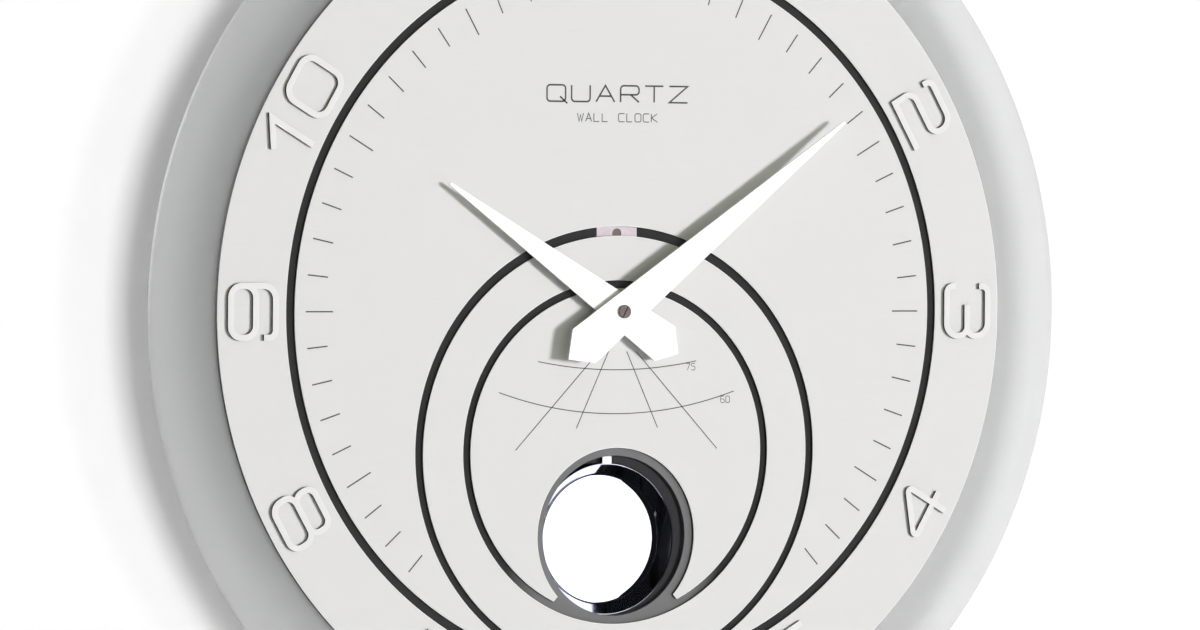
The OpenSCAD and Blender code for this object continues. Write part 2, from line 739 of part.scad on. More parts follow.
acrylic_disc();
adhesive_film();
chapter_ring();
dial_plate();
pendulum_ring();
inner_disc();
link_tab();
link_screw();
numeral(1);  // numeral_1
numeral(2);  // numeral_2
numeral(3);  // numeral_3
numeral(4);  // numeral_4
numeral(5);  // numeral_5
numeral(6);  // numeral_6
numeral(7);  // numeral_7
numeral(8);  // numeral_8
numeral(9);  // numeral_9
numeral(10);  // numeral_10
numeral(11);  // numeral_11
numeral(12);  // numeral_12
hour_hand();
minute_hand();
hand_screw();
bush_nut();
rubber_washer();
movement_front();
movement_back();
train_plate();
minute_arbor();
hour_wheel();
minute_wheel();
setting_knob();
center_wheel();
third_wheel();
fourth_wheel();
intermediate_wheel();
rotor();
stator();
motor_coil();
circuit_board();
battery();
battery_contacts();
drive_cover();
drive_coil();
pivot_pin();
pivot_clip();
pendulum_lever();
lever_magnet();
pendulum_rod();
pendulum_bob();
rear_pan();
pan_screws();
hanger_plate();
hanger_rivets();
battery_cover();
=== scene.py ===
"""Looks of a pendulum wall clock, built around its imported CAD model.

Sizes are in millimetres and are turned into metres by MM where a mesh is made. The hands' axis is X = Z = 0,
and drop is how far a centre lies below it. Depths count from the front of the face plates towards the wall.
"""

import json
import math

import bmesh
import bpy
from mathutils import Matrix, Vector

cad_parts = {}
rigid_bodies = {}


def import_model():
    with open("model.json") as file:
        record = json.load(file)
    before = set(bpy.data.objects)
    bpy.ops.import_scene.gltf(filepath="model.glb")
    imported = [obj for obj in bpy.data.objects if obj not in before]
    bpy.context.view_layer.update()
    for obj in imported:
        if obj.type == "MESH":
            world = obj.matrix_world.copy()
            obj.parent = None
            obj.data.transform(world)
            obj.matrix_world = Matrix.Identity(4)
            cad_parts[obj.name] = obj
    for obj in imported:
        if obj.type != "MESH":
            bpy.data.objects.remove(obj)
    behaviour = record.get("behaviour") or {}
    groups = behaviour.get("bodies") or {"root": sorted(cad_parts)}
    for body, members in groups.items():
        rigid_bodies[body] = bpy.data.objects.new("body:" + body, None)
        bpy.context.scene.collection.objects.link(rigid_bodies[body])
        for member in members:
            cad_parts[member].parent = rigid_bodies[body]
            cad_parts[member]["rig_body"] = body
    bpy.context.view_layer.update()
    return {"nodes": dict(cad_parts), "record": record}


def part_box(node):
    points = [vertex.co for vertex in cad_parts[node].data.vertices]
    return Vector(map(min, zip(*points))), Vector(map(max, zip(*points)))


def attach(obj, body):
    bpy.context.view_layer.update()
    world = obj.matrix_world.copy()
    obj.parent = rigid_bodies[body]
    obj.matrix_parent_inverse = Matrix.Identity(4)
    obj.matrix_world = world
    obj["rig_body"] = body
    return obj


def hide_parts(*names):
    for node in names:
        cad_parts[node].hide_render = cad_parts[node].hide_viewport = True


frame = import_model()

MM = 0.001
STAND_OFF = 30
PLATE_T, FILM_T, DISC_T = 1.7, 0.3, 4
EDGE, DISC_EDGE = 0.25, 0.4
DISC_D = PLATE_T + FILM_T
DISC_BACK = DISC_D + DISC_T
DISC_R = 225
CHAPTER_R, CHAPTER_IN_R = 194.8, 162
DIAL_R, DIAL_HOLE_R = 158, 99.3
PEND_RING_R, PEND_RING_IN_R, RING_DROP = 95.6, 75.9, 61.7
INNER_R, INNER_DROP = 72.4, 62.2
WINDOW_R, WINDOW_DROP, DISC_HOLE_R = 39, 99.3, 35.3
BUSH_R, PLATE_PLAY, DISC_PLAY = 4, 0.2, 0.1
HORN_IN, HORN_OUT = (28.8, -125.6), (30.9, -127.9)
BOB_DROP = 101.1
FINE, COARSE = 480, 64


# ---- Meshes ----


def add(name, mesh):
    """An object in the scene, from a mesh or a curve."""
    piece = bpy.data.objects.new(name, mesh)
    bpy.context.scene.collection.objects.link(piece)
    return piece


def new_mesh(name, bm):
    """Turns a bmesh into a mesh, and frees it."""
    mesh = bpy.data.meshes.new(name)
    bm.to_mesh(mesh)
    bm.free()
    return mesh


def shade(mesh):
    """Smooth faces, with the clear edges kept sharp."""
    bm = bmesh.new()
    bm.from_mesh(mesh)
    limit = math.radians(15)
    for face in bm.faces:
        face.smooth = True
    for edge in bm.edges:
        edge.smooth = len(edge.link_faces) == 2 and edge.calc_face_angle(0) < limit
    bm.to_mesh(mesh)
    bm.free()
    for name in ("custom_normal", "sharp_face"):
        if name in mesh.attributes:
            mesh.attributes.remove(mesh.attributes[name])


def finished(node, width):
    """A copy of a CAD node with its sharp edges broken by width, which stands for the node."""
    source = frame["nodes"][node]
    bm = bmesh.new()
    bm.from_mesh(source.data)
    bmesh.ops.remove_doubles(bm, verts=bm.verts, dist=2e-6)
    bmesh.ops.dissolve_limit(bm, angle_limit=math.radians(0.5), verts=bm.verts, edges=bm.edges)
    limit = math.radians(25)
    edges = [e for e in bm.edges if len(e.link_faces) == 2 and e.calc_face_angle(0) > limit]
    bmesh.ops.bevel(bm, geom=edges, offset=width * MM, offset_type="OFFSET", segments=2,
        profile=0.6, affect="EDGES", clamp_overlap=True)
    mesh = new_mesh(node + "_finish", bm)
    shade(mesh)
    piece = add(node + "_finish", mesh)
    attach(piece, source["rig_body"])
    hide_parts(node)
    return piece


def at_depth(point, depth):
    """The place in metres of an [x, z] point at a depth counted from the front of the face plates."""
    return Vector((point[0] * MM, (depth - STAND_OFF) * MM, point[1] * MM))


def arc(centre, r, start, end, steps=None):
    """Points on an arc, with the angles in degrees from +X towards +Z."""
    steps = steps or max(8, int(abs(end - start)))
    points = []
    for i in range(steps + 1):
        angle = math.radians(start + (end - start) * i / steps)
        points.append((centre[0] + r * math.cos(angle), centre[1] + r * math.sin(angle)))
    return points


def circle(centre, r, steps=360):
    return arc(centre, r, 0, 360, steps)[:-1]


def sheet_piece(name, outlines, front, back, edge):
    """A flat plate cut along closed outlines, from depth front to back, with round edges of radius edge."""
    curve = bpy.data.curves.new(name, "CURVE")
    curve.dimensions = "2D"
    curve.fill_mode = "BOTH"
    curve.extrude = ((back - front) / 2 - edge) * MM
    curve.bevel_depth = edge * MM
    curve.bevel_resolution = 1
    curve.offset = -edge * MM
    for outline in outlines:
        spline = curve.splines.new("POLY")
        spline.points.add(len(outline) - 1)
        for place, point in zip(spline.points, outline):
            place.co = (point[0] * MM, point[1] * MM, 0, 1)
        spline.use_cyclic_u = True
    holder = add(name + "_outline", curve)
    bpy.context.view_layer.update()
    depsgraph = bpy.context.evaluated_depsgraph_get()
    mesh = bpy.data.meshes.new_from_object(holder.evaluated_get(depsgraph))
    bpy.data.objects.remove(holder)
    upright = Matrix.Rotation(math.pi / 2, 4, "X")
    mesh.transform(Matrix.Translation(at_depth((0, 0), (front + back) / 2)) @ upright)
    bm = bmesh.new()
    bm.from_mesh(mesh)
    bmesh.ops.remove_doubles(bm, verts=bm.verts, dist=5e-7)
    bmesh.ops.recalc_face_normals(bm, faces=bm.faces)
    bm.to_mesh(mesh)
    bm.free()
    mesh.materials.clear()
    mesh.name = name
    shade(mesh)
    return add(name, mesh)


def crossing(r1, drop1, r2, drop2):
    """The right-hand crossing of two circles centred below the hand axis, as [x, z]."""
    z = (r2 ** 2 - r1 ** 2 - drop2 ** 2 + drop1 ** 2) / (2 * (drop2 - drop1))
    return math.sqrt(r1 ** 2 - (z + drop1) ** 2), z


def angle_at(drop, point):
    """The angle of a point, in degrees from +X, about a centre below the hand axis."""
    return math.degrees(math.atan2(point[1] + drop, point[0]))


def crescent(r, drop, hole_r, hole_drop, tip=None):
    """A disc with a round bite out of its bottom, and blunt horns where tip names their two corners."""
    outer, inner = tip or [crossing(r, drop, hole_r, hole_drop)] * 2
    a, b = angle_at(drop, outer), angle_at(hole_drop, inner)
    return arc((0, -drop), r, a, 180 - a) + arc((0, -hole_drop), hole_r, 180 - b, b)


def lathe(name, profile, drop, steps=256):
    """A piece turned about an axis along Y, from [radius, depth] points."""
    bm = bmesh.new()
    rings = []
    for r, depth in profile:
        if r == 0:
            rings.append([bm.verts.new(at_depth((0, -drop), depth))])
        else:
            rings.append([bm.verts.new(at_depth((x, z), depth)) for x, z in circle((0, -drop), r, steps)])
    for a, b in zip(rings, rings[1:]):
        for i in range(steps):
            j = (i + 1) % steps
            corners = [a[i % len(a)], a[j % len(a)], b[j % len(b)], b[i % len(b)]]
            bm.faces.new(list(dict.fromkeys(corners)))
    bmesh.ops.recalc_face_normals(bm, faces=bm.faces)
    mesh = new_mesh(name, bm)
    shade(mesh)
    return add(name, mesh)


def rounded(points, r, steps=6):
    """An open line in 2D with its inner corners rounded to radius r."""
    out = [points[0]]
    for a, b, c in zip(points, points[1:], points[2:]):
        a, b, c = Vector(a), Vector(b), Vector(c)
        u, w = (a - b).normalized(), (c - b).normalized()
        half = u.angle(w) / 2
        mid = b + (u + w).normalized() * r / math.sin(half)
        p, q = b + u * r / math.tan(half) - mid, b + w * r / math.tan(half) - mid
        for i in range(steps + 1):
            t = i / steps
            turn = p.angle_signed(q) * -t
            out.append(tuple(mid + Matrix.Rotation(turn, 2) @ p))
    return out + [points[-1]]


def ribbon(bm, points, width, front, back):
    """Adds a thin strip along points to a bmesh, as wide as width and from depth front to back."""
    points = [Vector(p) for p in points]
    sides = []
    for i, p in enumerate(points):
        before = (p - points[i - 1]).normalized() if i else (points[1] - p).normalized()
        after = (points[i + 1] - p).normalized() if i < len(points) - 1 else before
        along = (before + after).normalized()
        normal = Vector((-along.y, along.x))
        reach = width / 2 / max(0.35, normal.dot(Vector((-before.y, before.x))))
        sides.append((p + normal * reach, p - normal * reach))
    rows = [[bm.verts.new(at_depth(q, d)) for q, d in
        ((a, front), (b, front), (b, back), (a, back))] for a, b in sides]
    for r, s in zip(rows, rows[1:]):
        for i in range(4):
            j = (i + 1) % 4
            bm.faces.new((r[i], r[j], s[j], s[i]))
    bm.faces.new(rows[0])
    bm.faces.new(rows[-1][::-1])


def cut(piece, low, high):
    """Subtracts a box, given by two corners in metres, from a piece."""
    bm = bmesh.new()
    bmesh.ops.create_cube(bm, size=1)
    middle, size = (low + high) / 2, high - low
    bmesh.ops.transform(bm, matrix=Matrix.Translation(middle) @ Matrix.Diagonal((*size, 1)), verts=bm.verts)
    tool = add("cutter", new_mesh("cutter", bm))
    modifier = piece.modifiers.new("cut", "BOOLEAN")
    modifier.object, modifier.solver, modifier.operation = tool, "EXACT", "DIFFERENCE"
    bpy.context.view_layer.update()
    depsgraph = bpy.context.evaluated_depsgraph_get()
    result = bpy.data.meshes.new_from_object(piece.evaluated_get(depsgraph))
    piece.modifiers.clear()
    piece.data = result
    bpy.data.objects.remove(tool)
    shade(result)


# ---- Materials ----


class Look:
    """A Principled material with short calls for its procedural detail."""

    def __init__(self, name, colour, roughness, metallic=0.0):
        self.material = bpy.data.materials.new(name)
        self.material.use_nodes = True
        self.tree = self.material.node_tree
        self.shader = self.tree.nodes["Principled BSDF"]
        self.shader.inputs["Base Color"].default_value = (*colour, 1)
        self.shader.inputs["Roughness"].default_value = roughness
        self.shader.inputs["Metallic"].default_value = metallic
        self.colour, self.roughness = colour, roughness
        self.place = self.node("ShaderNodeTexCoord").outputs["Object"]

    def node(self, kind, **values):
        """A new node, with its settings and input values by name."""
        made = self.tree.nodes.new(kind)
        for key, value in values.items():
            if hasattr(made, key):
                setattr(made, key, value)
            else:
                made.inputs[key.replace("_", " ")].default_value = value
        return made

    def link(self, a, b):
        self.tree.links.new(a, b)

    def stretched(self, scale):
        """The piece's own coordinates times a scale on each axis."""
        mapping = self.node("ShaderNodeMapping")
        mapping.inputs["Scale"].default_value = scale
        self.link(self.place, mapping.inputs["Vector"])
        return mapping.outputs["Vector"]

    def noise(self, scale, detail=3.0, stretch=(1, 1, 1), roughness=0.5):
        made = self.node("ShaderNodeTexNoise", Scale=scale, Detail=detail, Roughness=roughness)
        self.link(self.stretched(stretch), made.inputs["Vector"])
        return made.outputs["Fac"]

    def spread(self, value, low, high, a=0.3, b=0.7):
        """Turns a value between a and b into one between low and high."""
        made = self.node("ShaderNodeMapRange")
        for key, number in (("From Min", a), ("From Max", b), ("To Min", low), ("To Max", high)):
            made.inputs[key].default_value = number
        self.link(value, made.inputs["Value"])
        return made.outputs["Result"]

    def vary_roughness(self, value, amount):
        spread = self.spread(value, self.roughness - amount, self.roughness + amount)
        self.link(spread, self.shader.inputs["Roughness"])
        return self

    def vary_colour(self, value, other, a=0.3, b=0.7, colour=None):
        """Goes from the look's own colour, or the one given, to another as a value goes from a to b."""
        mix = self.node("ShaderNodeMix", data_type="RGBA")
        mix.inputs[6].default_value = (*(colour or self.colour), 1)
        mix.inputs[7].default_value = (*other, 1)
        self.link(self.spread(value, 0, 1, a, b), mix.inputs[0])
        self.link(mix.outputs[2], self.shader.inputs["Base Color"])
        return self

    def paint_over(self, mask, colour):
        """Lays a colour over what the look has so far, where a mask is 1."""
        mix = self.node("ShaderNodeMix", data_type="RGBA")
        self.link(self.shader.inputs["Base Color"].links[0].from_socket, mix.inputs[6])
        mix.inputs[7].default_value = (*colour, 1)
        self.link(mask, mix.inputs[0])
        self.link(mix.outputs[2], self.shader.inputs["Base Color"])
        return self

    def turned_away(self, start):
        """A mask that is 0 on faces towards the front and goes to 1 as the normal's Y passes start."""
        geometry = self.node("ShaderNodeNewGeometry")
        split = self.node("ShaderNodeSeparateXYZ")
        self.link(geometry.outputs["True Normal"], split.inputs["Vector"])
        return self.spread(split.outputs["Y"], 0, 1, start, start + 0.05)

    def bump(self, value, strength, distance):
        """Relief from a value, distance millimetres high at strength 1."""
        made = self.node("ShaderNodeBump", Strength=strength, Distance=distance * MM)
        self.link(value, made.inputs["Height"])
        self.link(made.outputs["Normal"], self.shader.inputs["Normal"])
        return self


ALONG_X, ALONG_Z, ALONG_X_SHORT = (0.012, 1, 1), (1, 1, 0.03), (0.03, 1, 1)


def brushed(name, colour, roughness, metallic=1.0, stretch=ALONG_X, scale=1500, darker=0.94, depth=0.01):
    """Metal with fine straight brushing along one axis."""
    look = Look(name, colour, roughness, metallic)
    lines = look.noise(scale, 4, stretch, 0.6)
    look.vary_roughness(lines, 0.06)
    look.vary_colour(lines, tuple(c * darker for c in colour))
    return look.bump(lines, 0.25, depth)


def moulded(name, colour, roughness, grain=2600, depth=0.03):
    """Plastic or rubber with a fine eroded grain."""
    look = Look(name, colour, roughness)
    spots = look.noise(grain, 3)
    look.vary_roughness(look.noise(90, 3), 0.05)
    look.vary_colour(look.noise(900, 3), tuple(c * 1.15 + 0.002 for c in colour))
    return look.bump(spots, 0.35, depth)


def wound(name, colour, stretch):
    """Enamelled wire laid turn by turn, with painted shade in darker bands between the turns."""
    look = Look(name, colour, 0.3, 0.85)
    wave = look.node("ShaderNodeTexWave", Scale=700, Distortion=0.4, Detail=1.0)
    look.link(look.stretched(stretch), wave.inputs["Vector"])
    # Painted shade: the wave darkens the colour in bands between the turns.
    look.vary_colour(wave.outputs["Fac"], tuple(c * 0.45 for c in colour), 0.2, 0.8)
    return look.bump(wave.outputs["Fac"], 0.6, 0.08)


def battery_look():
    """A printed wrapper: dark, with a copper-coloured end."""
    look = Look("battery_wrap", (0.10, 0.11, 0.12), 0.3)
    split = look.node("ShaderNodeSeparateXYZ")
    look.link(look.place, split.inputs["Vector"])
    collar = (0.012, 0.0121)
    band = look.spread(split.outputs["X"], 0, 1, *collar)
    look.vary_colour(band, (0.55, 0.30, 0.10), 0, 1)
    return look.bump(look.noise(300, 2), 0.1, 0.02)


def sheet(name, colour):
    """Brushed sheet with a painted highlight on its broken edges and painted shade on its cut walls."""
    look = brushed(name, colour, 0.45, 0.1, darker=0.985, depth=0.001)
    # Painted highlight: faces that turn just off the front, the broken edges, are painted light.
    look.paint_over(look.turned_away(-0.985), (0.86, 0.86, 0.85))
    # Painted shade: faces turned further from the front, the cut walls, are painted near black.
    return look.paint_over(look.turned_away(-0.3), (0.06, 0.06, 0.06))


def lacquer(name, colour):
    """Smooth paint with a faint orange peel."""
    look = Look(name, colour, 0.38)
    look.vary_roughness(look.noise(220, 3), 0.04).bump(look.noise(900, 2), 0.05, 0.02)
    return look.vary_colour(look.noise(150, 3), (0.915, 0.915, 0.90))


def plated(name, colour, roughness, scale):
    """Polished plating with a trace of haze."""
    look = Look(name, colour, roughness, 1.0)
    haze = look.noise(scale, 3)
    return look.vary_roughness(haze, 0.012).vary_colour(haze, tuple(c * 0.98 for c in colour))


def disc_look():
    """Frosted acrylic: clear outside the plates, with painted shade behind them and near black painted shade
    on the wall of its hole.

    The painted shade behind the plates stands for the shade in the narrow gaps between them, and is lighter
    near the window. Frosting scatters light, so less of a lamp's light passes straight.
    Radii in this look are in metres.
    """
    look = Look("frosted_acrylic", (0.62, 0.625, 0.625), 0.45)
    window_painted_shade, gap_painted_shade, hole_painted_shade = (0.21, 0.21, 0.21), (0.045, 0.045, 0.045), (0.02, 0.02, 0.02)
    hole_end, gap_shade_fade, behind_plates_end = (0.040, 0.044), (0.046, 0.055), (0.190, 0.192)
    masked_alpha, clear_alpha, shadow_alpha = 0.85, 0.31, 0.20
    flat = look.stretched((1, 0, 1))
    radius = look.node("ShaderNodeVectorMath", operation="LENGTH")
    look.link(flat, radius.inputs[0])
    from_window = look.node("ShaderNodeVectorMath", operation="DISTANCE")
    look.link(flat, from_window.inputs[0])
    from_window.inputs[1].default_value = (0, 0, -WINDOW_DROP * MM)
    in_hole = look.node("ShaderNodeMath", operation="MULTIPLY")
    look.link(look.turned_away(-0.5), in_hole.inputs[0])
    look.link(look.spread(from_window.outputs["Value"], 1, 0, *hole_end), in_hole.inputs[1])
    # Painted shade: dark grey behind the plates, lighter grey near the window.
    look.vary_colour(from_window.outputs["Value"], gap_painted_shade, *gap_shade_fade, window_painted_shade)
    # Painted shade: near black on the wall of the window hole.
    look.paint_over(in_hole.outputs[0], hole_painted_shade)
    look.paint_over(look.spread(radius.outputs["Value"], 0, 1, *behind_plates_end), look.colour)
    alpha = look.node("ShaderNodeMath", operation="MULTIPLY_ADD")
    look.link(look.node("ShaderNodeLightPath").outputs["Is Shadow Ray"], alpha.inputs[0])
    alpha.inputs[1].default_value = shadow_alpha
    look.link(look.spread(radius.outputs["Value"], masked_alpha, clear_alpha, *behind_plates_end), alpha.inputs[2])
    look.link(alpha.outputs[0], look.shader.inputs["Alpha"])
    return look.bump(look.noise(1200, 2), 0.06, 0.02)


looks = {
    "face_aluminium": sheet("face_aluminium", (0.63, 0.63, 0.61)),
    # Painted highlight: the numerals get a lighter copy of the face plates' aluminium, so their tops read
    # brighter.
    "numeral_aluminium_painted_highlight": sheet("numeral_aluminium_painted_highlight", (0.685, 0.685, 0.665)),
    "hand_white": lacquer("hand_white", (0.93, 0.93, 0.92)),
    "adhesive": moulded("adhesive", (0.012, 0.012, 0.013), 0.8, 3000, 0.05),
    "dark_steel": brushed("dark_steel", (0.10, 0.10, 0.11), 0.4),
    "steel": brushed("steel", (0.50, 0.50, 0.52), 0.32),
    "browned_steel": brushed("browned_steel", (0.20, 0.17, 0.16), 0.4),
    "tab_aluminium": moulded("tab_aluminium", (0.52, 0.46, 0.48), 0.5, 2400, 0.03),
    "zinc_steel": brushed("zinc_steel", (0.62, 0.63, 0.64), 0.35, stretch=ALONG_Z, scale=900),
    "brass": brushed("brass", (0.72, 0.52, 0.20), 0.3, stretch=ALONG_X_SHORT, scale=1200),
    "bob_chrome": plated("bob_chrome", (0.80, 0.82, 0.94), 0.06, 40),
    "rod_chrome": plated("rod_chrome", (0.85, 0.85, 0.86), 0.26, 160),
    "case_black": moulded("case_black", (0.018, 0.018, 0.020), 0.5),
    "pan_black": moulded("pan_black", (0.06, 0.06, 0.065), 0.55, 1800, 0.05),
    "gear_nylon": moulded("gear_nylon", (0.80, 0.77, 0.66), 0.4, 1200, 0.01),
    "magnet": brushed("magnet", (0.35, 0.35, 0.37), 0.25),
    "copper_coil": wound("copper_coil", (0.62, 0.25, 0.09), (1, 0.02, 0.02)),
    "board_green": moulded("board_green", (0.015, 0.13, 0.05), 0.3, 700, 0.02),
    "battery_wrap": battery_look(),
    "seal_rubber": moulded("seal_rubber", (0.02, 0.02, 0.02), 0.75, 1500, 0.04),
    "frosted_acrylic": disc_look(),
}
ink = Look("ink", (0.05, 0.05, 0.05), 0.6)
ink.vary_colour(ink.noise(900, 3), (0.09, 0.09, 0.09))


def dress(piece, slot, look=None):
    """Gives a piece the material of its record slot's look, or of another look when one is named."""
    piece.data.materials.clear()
    piece.data.materials.append(looks[look or slot].material)
    return piece


def stands_for(piece, node, body="clock"):
    """Lets a piece ride on a body in place of a CAD node, dressed in the node's slot."""
    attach(piece, body)
    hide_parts(node)
    return dress(piece, slot_of[node])


slot_of = {part["node"]: part["material_slot"] for part in frame["record"]["subparts"]}
for node, shown in frame["nodes"].items():
    if not shown.material_slots:
        shown.data.materials.append(None)
    for place in shown.material_slots:
        place.material = looks[slot_of[node]].material


# ---- Face plates and disc ----

NUMERAL_EDGE, FINE_EDGE, SMALL_EDGE, PAN_EDGE = 0.16, 0.1, 0.15, 0.5
dial = crescent(DIAL_R, 0, DIAL_HOLE_R, RING_DROP)
inner = crescent(INNER_R, INNER_DROP, WINDOW_R, WINDOW_DROP, (HORN_OUT, HORN_IN))
plates = {
    "chapter_ring": [circle((0, 0), CHAPTER_R), circle((0, 0), CHAPTER_IN_R)],
    "dial_plate": [dial],
    "pendulum_ring": [circle((0, -INNER_DROP), PEND_RING_R), circle((0, -INNER_DROP), PEND_RING_IN_R)],
    "inner_disc": [inner, circle((0, 0), BUSH_R + PLATE_PLAY, COARSE)],
}
for node, outlines in plates.items():
    stands_for(sheet_piece(node + "_finish", outlines, 0, PLATE_T, EDGE), node)

disc_outlines = [
    circle((0, 0), DISC_R, FINE),
    circle((0, DISC_PLAY - WINDOW_DROP), DISC_HOLE_R, FINE // 2),
    circle((0, 0), BUSH_R + DISC_PLAY, COARSE),
]
disc = sheet_piece("frosted_disc", disc_outlines, DISC_D, DISC_BACK, DISC_EDGE)
tab_low, tab_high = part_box("link_tab")
gap, ahead = Vector((0.2, 0, 0.2)) * MM, Vector((0, 1, 0)) * MM
cut(disc, tab_low - gap - ahead, tab_high + gap)
stands_for(disc, "acrylic_disc")

for number in range(1, 13):
    dress(finished(f"numeral_{number}", NUMERAL_EDGE), "face_aluminium", "numeral_aluminium_painted_highlight")
for node in ("hour_hand", "minute_hand"):
    dress(finished(node, FINE_EDGE), "hand_white")

own_look = {"link_tab": "tab_aluminium", "link_screw": "browned_steel", "hand_screw": "browned_steel"}
for node, look in own_look.items():
    dress(finished(node, SMALL_EDGE), slot_of[node], look)
dress(finished("bush_nut", SMALL_EDGE), slot_of["bush_nut"])
dress(finished("rear_pan", PAN_EDGE), slot_of["rear_pan"])
for node in ("battery_cover", "setting_knob", "hanger_plate", "hanger_rivets", "pan_screws"):
    dress(finished(node, SMALL_EDGE), slot_of[node])


# ---- Finger grooves in the battery cover ----

GROOVES, GROOVE_TOP, GROOVE_PITCH = 5, 4, 2
GROOVE_LOW, GROOVE_HIGH = Vector((-9, -0.5, -0.4)) * MM, Vector((9, 1, 0.4)) * MM
cover = bpy.data.objects["battery_cover_finish"]
cover_low, cover_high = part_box("battery_cover")
for i in range(GROOVES):
    height = cover_high.z - (GROOVE_TOP + GROOVE_PITCH * i) * MM
    middle = Vector(((cover_low.x + cover_high.x) / 2, cover_high.y, height))
    cut(cover, middle + GROOVE_LOW, middle + GROOVE_HIGH)
dress(cover, slot_of["battery_cover"])


# ---- Pendulum ----

FLOOR_R, FLOOR_D = 28.3, 17.1
RIM_R, RIM_D, WALL = 33.1, 9.7, 0.5
BACK_D, BACK_EDGE = 18.1, 0.6
FILLET = 3.2


def bob_profile():
    """A flat floor, a fillet, a flared side, a rolled rim, and a straight back with a broken edge."""
    slope = math.atan2(FLOOR_D - RIM_D, RIM_R - FLOOR_R)
    start = FLOOR_R - FILLET * math.tan(slope / 2)
    turns = [slope * i / 12 for i in range(13)]
    fillet = [(start + FILLET * math.sin(t), FLOOR_D - FILLET * (1 - math.cos(t))) for t in turns]
    rim = [(r, -depth) for r, depth in arc((RIM_R + WALL / 2, -RIM_D - WALL / 2), WALL / 2, 180, 0, 10)]
    side = RIM_R + WALL
    back = [(side, BACK_D - BACK_EDGE), (side - BACK_EDGE, BACK_D), (0, BACK_D)]
    return [(0, FLOOR_D), *fillet, *rim, *back]


stands_for(lathe("bob", bob_profile(), BOB_DROP), "pendulum_bob", "pendulum")
dress(finished("pendulum_rod", FINE_EDGE), "rod_chrome")


# ---- Printed marks ----

PRINT_FRONT, PRINT_BACK = -0.02, 0.02


def printed(name, lines):
    """Thin printed lines, given as (points, width), as one piece on the face."""
    bm = bmesh.new()
    for points, width in lines:
        ribbon(bm, points, width, PRINT_FRONT, PRINT_BACK)
    bmesh.ops.recalc_face_normals(bm, faces=bm.faces)
    piece = add(name, new_mesh(name, bm))
    piece.data.materials.append(ink.material)
    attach(piece, "clock")


def polar(angle, r):
    """A point at a clockwise angle from twelve, in degrees."""
    return r * math.sin(math.radians(angle)), r * math.cos(math.radians(angle))


def on_dial(point):
    """Whether a point is outside the dial plate's opening."""
    return math.hypot(point[0], point[1] + RING_DROP) > DIAL_HOLE_R + 1


TICK_OUT, HOUR_IN, MINUTE_IN, TICK_W = 152.7, 139.6, 142.9, 0.6
ticks = []
for minute in range(60):
    ends = [polar(6 * minute, r) for r in (HOUR_IN if minute % 5 == 0 else MINUTE_IN, TICK_OUT)]
    if all(on_dial(p) for p in ends):
        ticks.append((ends, TICK_W))
printed("minute_track", ticks)


def scale_arc(end, low_z):
    """A shallow printed arc through (+-end) that is lowest at low_z."""
    rise = end[1] - low_z
    r = (end[0] ** 2 + rise ** 2) / (2 * rise)
    half = math.degrees(math.asin(end[0] / r))
    return arc((0, low_z + r), r, 270 - half, 270 + half, 40)


SCALE_W = 0.42
RAY_ORIGIN, RAY_TOP = -8, -17.7
scale_lines = [(scale_arc((39.5, -22), -25.8), SCALE_W), (scale_arc((58.7, -35.5), -45.2), SCALE_W)]
for angle, end_z in ((25, -51.5), (43.5, -61)):
    for side in (-1, 1):
        slant = math.tan(math.radians(angle)) * side
        ray = [(slant * (RAY_ORIGIN - z), z) for z in (RAY_TOP, end_z)]
        scale_lines.append((ray, SCALE_W))
printed("swing_scale", scale_lines)

GLYPHS = {
    "A": [[(0, 0), (0.5, 1), (1, 0)], [(0.2, 0.35), (0.8, 0.35)]],
    "C": [[(1, 1), (0, 1), (0, 0), (1, 0)]],
    "K": [[(0, 0), (0, 1)], [(0.95, 1), (0.05, 0.5), (1, 0)]],
    "L": [[(0, 1), (0, 0), (0.9, 0)]],
    "O": [[(0.5, 1), (0, 1), (0, 0), (1, 0), (1, 1), (0.5, 1)]],
    "Q": [[(0.5, 1), (0, 1), (0, 0), (1, 0), (1, 1), (0.5, 1)], [(0.7, 0.3), (1.1, -0.12)]],
    "R": [[(0, 0), (0, 1), (1, 1), (1, 0.45), (0, 0.45)], [(0.55, 0.45), (1, 0)]],
    "T": [[(0, 1), (1, 1)], [(0.5, 1), (0.5, 0)]],
    "U": [[(0, 1), (0, 0), (1, 0), (1, 1)]],
    "W": [[(0, 1), (0.28, 0), (0.5, 0.8), (0.72, 0), (1, 1)]],
    "Z": [[(0, 1), (1, 1), (0, 0), (1, 0)]],
    "0": [[(0.5, 1), (0, 1), (0, 0), (1, 0), (1, 1), (0.5, 1)]],
    "5": [[(1, 1), (0, 1), (0, 0.58), (1, 0.58), (1, 0), (0, 0)]],
    "6": [[(1, 1), (0, 1), (0, 0), (1, 0), (1, 0.55), (0, 0.55)]],
    "7": [[(0, 1), (1, 1), (0.35, 0)]],
}
ROUND_LETTERS, LETTER_CORNER = "COQRU056", 0.22


def lettering(text, centre, height, width, pitch, line):
    """Printed strokes of a word, with letters width wide every pitch."""
    lines = []
    left = centre[0] - (pitch * (len(text) - 1) + width) / 2
    for i, letter in enumerate(text):
        for stroke in GLYPHS.get(letter, []):
            points = [(left + i * pitch + x * width, centre[1] + (y - 0.5) * height) for x, y in stroke]
            if letter in ROUND_LETTERS:
                points = rounded(points, LETTER_CORNER * height)
            lines.append((points, line))
    return lines


